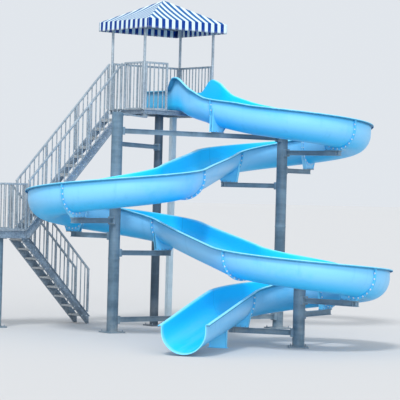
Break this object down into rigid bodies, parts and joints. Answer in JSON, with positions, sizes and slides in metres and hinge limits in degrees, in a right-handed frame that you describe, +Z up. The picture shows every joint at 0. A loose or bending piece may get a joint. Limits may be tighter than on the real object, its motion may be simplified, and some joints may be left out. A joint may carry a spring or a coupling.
{
  "type": "water slide tower",
  "caption": "Open spiral flume winding round tall pipe columns from a railed deck with stairs and a striped canopy, down to a low exit at the ground",
  "frame": {"origin": "centre of the underside of the left column's base plate, at ground level", "axes": "X runs along the front of the deck towards the right column, Y runs away from the front, Z is up"},
  "size_m": [9.0206, 9.479, 7.45],
  "materials": {
    "steel": "satin grey-blue paint",
    "rail": "dull galvanised grey",
    "plate": "dull galvanised grey",
    "post": "pale grey paint",
    "flume": "gloss glass-reinforced plastic",
    "canopy": "woven coated cloth with white and blue stripes"
  },
  "bodies": {
    "root": {"column_left": "steel", "column_right": "steel", "column_front": "steel", "column_deck": "steel", "post_deck": "post", "tie_upper": "steel", "tie_lower": "steel", "beam_deck": "steel", "arm_deck": "steel", "arm_right_1": "steel", "arm_right_2": "steel", "arm_right_3": "steel", "arm_left_1": "steel", "arm_left_2": "steel", "arm_left_3": "steel", "arm_front_1": "steel", "arm_front_2": "steel", "arm_front_3": "steel", "pad_tie": "steel", "column_landing_near": "steel", "column_landing_far": "steel", "flume_00": "flume", "flume_01": "flume", "flume_02": "flume", "flume_03": "flume", "flume_04": "flume", "flume_05": "flume", "flume_06": "flume", "flume_07": "flume", "flume_08": "flume", "flume_09": "flume", "flume_10": "flume", "flume_11": "flume", "flume_12": "flume", "exit_foot": "flume", "deck_platform": "plate", "guard_front": "rail", "guard_right": "rail", "guard_back": "rail", "guard_left": "rail", "flight_upper": "plate", "flight_lower": "plate", "landing_platform": "plate", "rail_upper_near": "rail", "rail_upper_far": "rail", "rail_lower_near": "rail", "rail_lower_far": "rail", "landing_guard_near": "rail", "landing_guard_left": "rail", "landing_guard_far": "rail", "canopy_post_front_left": "rail", "canopy_post_front_right": "rail", "canopy_post_back_left": "rail", "canopy_post_back_right": "rail", "canopy_ring": "rail", "canopy_hips": "rail", "canopy_cover": "canopy"}
  },
  "joints": []
}
